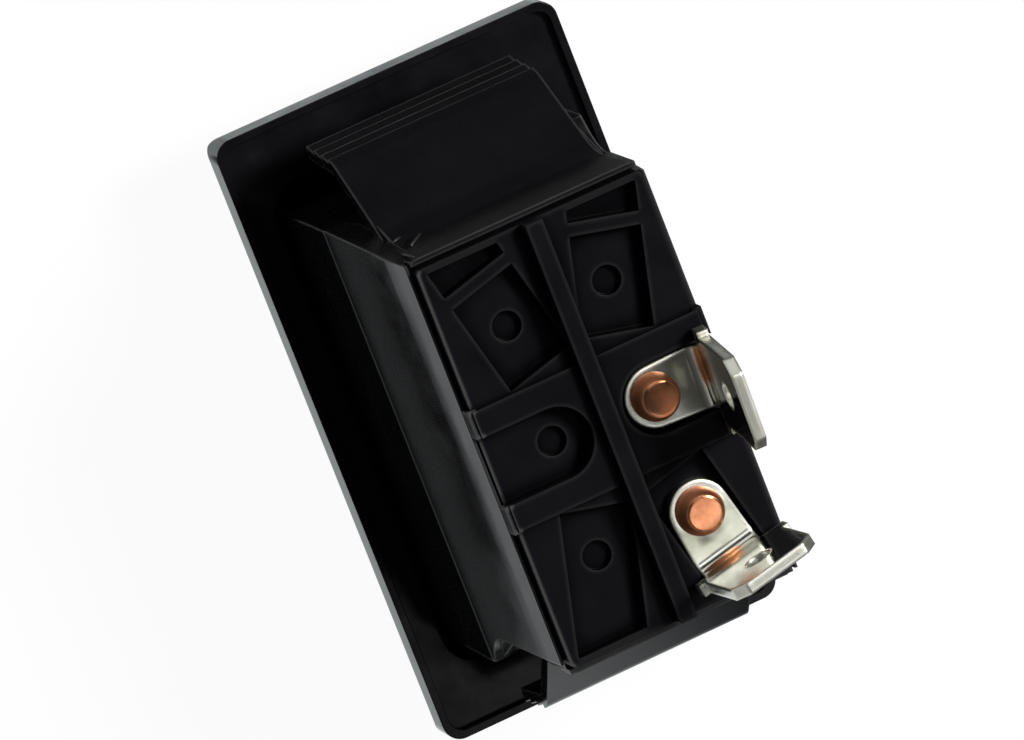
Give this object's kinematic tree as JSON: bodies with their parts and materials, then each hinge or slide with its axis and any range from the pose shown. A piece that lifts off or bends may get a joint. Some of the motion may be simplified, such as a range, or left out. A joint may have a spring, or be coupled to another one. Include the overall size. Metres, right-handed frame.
{
  "type": "panel rocker switch",
  "caption": "Snap-in panel rocker switch in a black housing with a rimmed flange, spring legs at both ends and riveted blade tabs on its back.",
  "frame": {"origin": "centre of the flange's rear rim plane, which meets the front of the panel", "axes": "+Z out of the switch's back along the terminal tabs, +Y along the flange's length, +X across it towards the column that carries the terminals"},
  "size_m": [0.0254, 0.0444, 0.0404],
  "materials": {
    "housing_nylon": "satin black nylon",
    "base_nylon": "satin black nylon",
    "rocker_nylon": "semi-gloss black nylon",
    "plunger_nylon": "natural nylon",
    "spring_steel": "drawn wire",
    "blade_copper": "rolled copper alloy",
    "contact_silver": "silver alloy",
    "saddle_brass": "stamped brass",
    "rivet_copper": "bright upset copper",
    "terminal_tin": "tin plate over brass"
  },
  "bodies": {
    "housing": {"bezel_housing": "housing_nylon", "terminal_base": "base_nylon", "contact_saddle": "saddle_brass", "fixed_contact": "contact_silver", "common_rivet": "rivet_copper", "throw_rivet": "rivet_copper", "common_terminal": "terminal_tin", "throw_terminal": "terminal_tin"},
    "rocker": {"rocker": "rocker_nylon", "plunger_spring": "spring_steel"},
    "plunger": {"plunger": "plunger_nylon"},
    "blade": {"contact_blade": "blade_copper", "moving_contact": "contact_silver"}
  },
  "joints": [
    {"name": "rocker_pivot", "type": "hinge", "parent": "housing", "child": "rocker", "pos_m": [0, 0, 0.003], "axis": [1, 0, 0], "range_deg": [0, 20]},
    {"name": "blade_pivot", "type": "hinge", "parent": "housing", "child": "blade", "pos_m": [0.00366, 0, 0.0182], "axis": [1, 0, 0], "range_deg": [-9, 0]},
    {"name": "plunger_slide", "type": "slide", "parent": "rocker", "child": "plunger", "axis": [0, -0.1736, -0.9848], "range_m": [0, 0.0008], "stiffness_N_per_m": 600, "springref_m": -0.0015, "deforming": ["plunger_spring"]}
  ],
  "couplings": [
    {"joint": "blade_pivot", "follows": "rocker_pivot", "ratio": -0.45}
  ]
}
